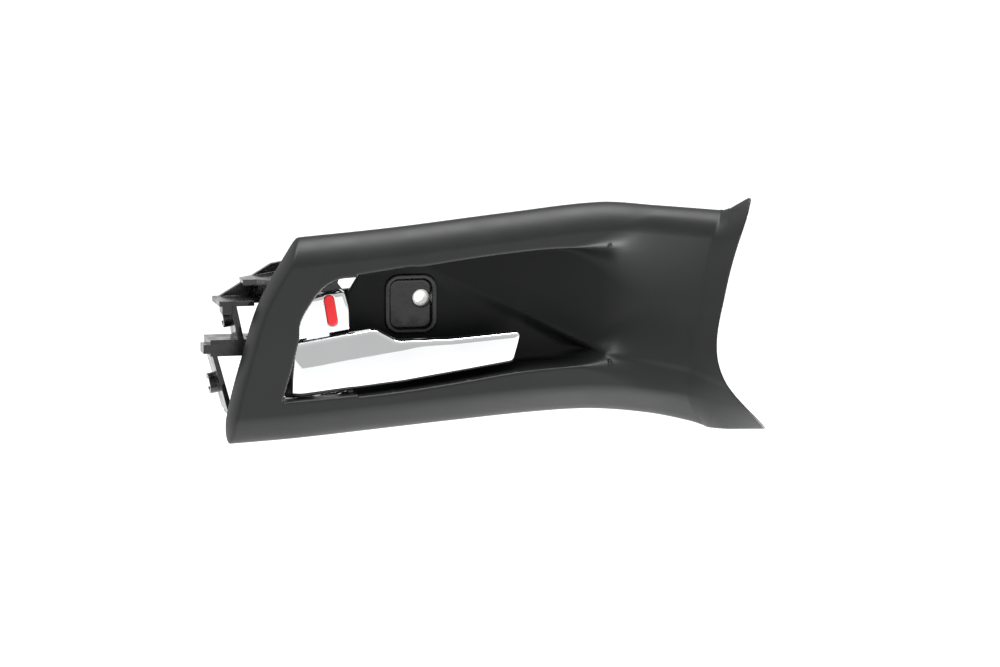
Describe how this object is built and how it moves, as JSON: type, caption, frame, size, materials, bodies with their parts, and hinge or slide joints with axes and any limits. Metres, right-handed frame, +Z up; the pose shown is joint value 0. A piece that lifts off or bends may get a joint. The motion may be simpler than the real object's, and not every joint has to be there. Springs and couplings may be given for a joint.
{
  "type": "car interior door handle",
  "caption": "Inside door handle: dark flared bezel with a deep finger recess, chrome pull lever and lock rocker on one tilted pin, and an open cable bracket behind one end.",
  "frame": {"origin": "centre of the front end of the steel screw sleeve's bore, where the base housing meets the back of the bezel's screw pocket", "axes": "+X from the pivot to the free end of the lever, +Z up in the door, -Y towards the cabin, along the mounting screw's way out"},
  "size_m": [0.2821, 0.055, 0.1184],
  "materials": {
    "bezel_plastic": "fine grained moulding",
    "housing_plastic": "glossy black moulding",
    "core_plastic": "smooth black moulding",
    "chrome": "bright chrome plate",
    "red_mark": "red paint",
    "zinc_steel": "zinc plated",
    "pin_steel": "ground",
    "spring_steel": "blued spring steel",
    "nylon": "natural nylon",
    "rubber": "soft rubber",
    "black_screws": "black zinc",
    "foam": "closed cell foam"
  },
  "bodies": {
    "base": {"bezel": "bezel_plastic", "screw_cup": "housing_plastic", "base_housing": "housing_plastic", "cable_bracket": "housing_plastic", "screw_sleeve": "zinc_steel", "pivot_pin": "pin_steel", "pin_push_nut": "spring_steel", "thrust_washers": "nylon", "spring_spool": "nylon", "lever_return_spring": "spring_steel", "lock_detent_spring": "spring_steel", "lever_rest_bumper": "rubber", "lever_stop_bumper": "rubber", "case_screws": "black_screws", "panel_clips": "spring_steel", "anti_rattle_pads": "foam"},
    "lever": {"pull_lever": "chrome", "lever_core": "core_plastic", "latch_cable_bush": "nylon"},
    "knob": {"lock_knob": "chrome", "unlock_mark": "red_mark", "lock_cable_bush": "nylon"}
  },
  "joints": [
    {"name": "lever_pull", "type": "hinge", "parent": "base", "child": "lever", "pos_m": [-0.06815, -0.016, -0.01079], "axis": [0.1564, 0, -0.9877], "range_deg": [0, 32], "stiffness_Nm_per_rad": 0.25, "springref_deg": -28.65, "deforming": ["lever_return_spring"]},
    {"name": "lock_rocker", "type": "hinge", "parent": "base", "child": "knob", "pos_m": [-0.06815, -0.016, -0.01079], "axis": [-0.1564, 0, 0.9877], "range_deg": [0, 18], "deforming": ["lock_detent_spring"]}
  ]
}
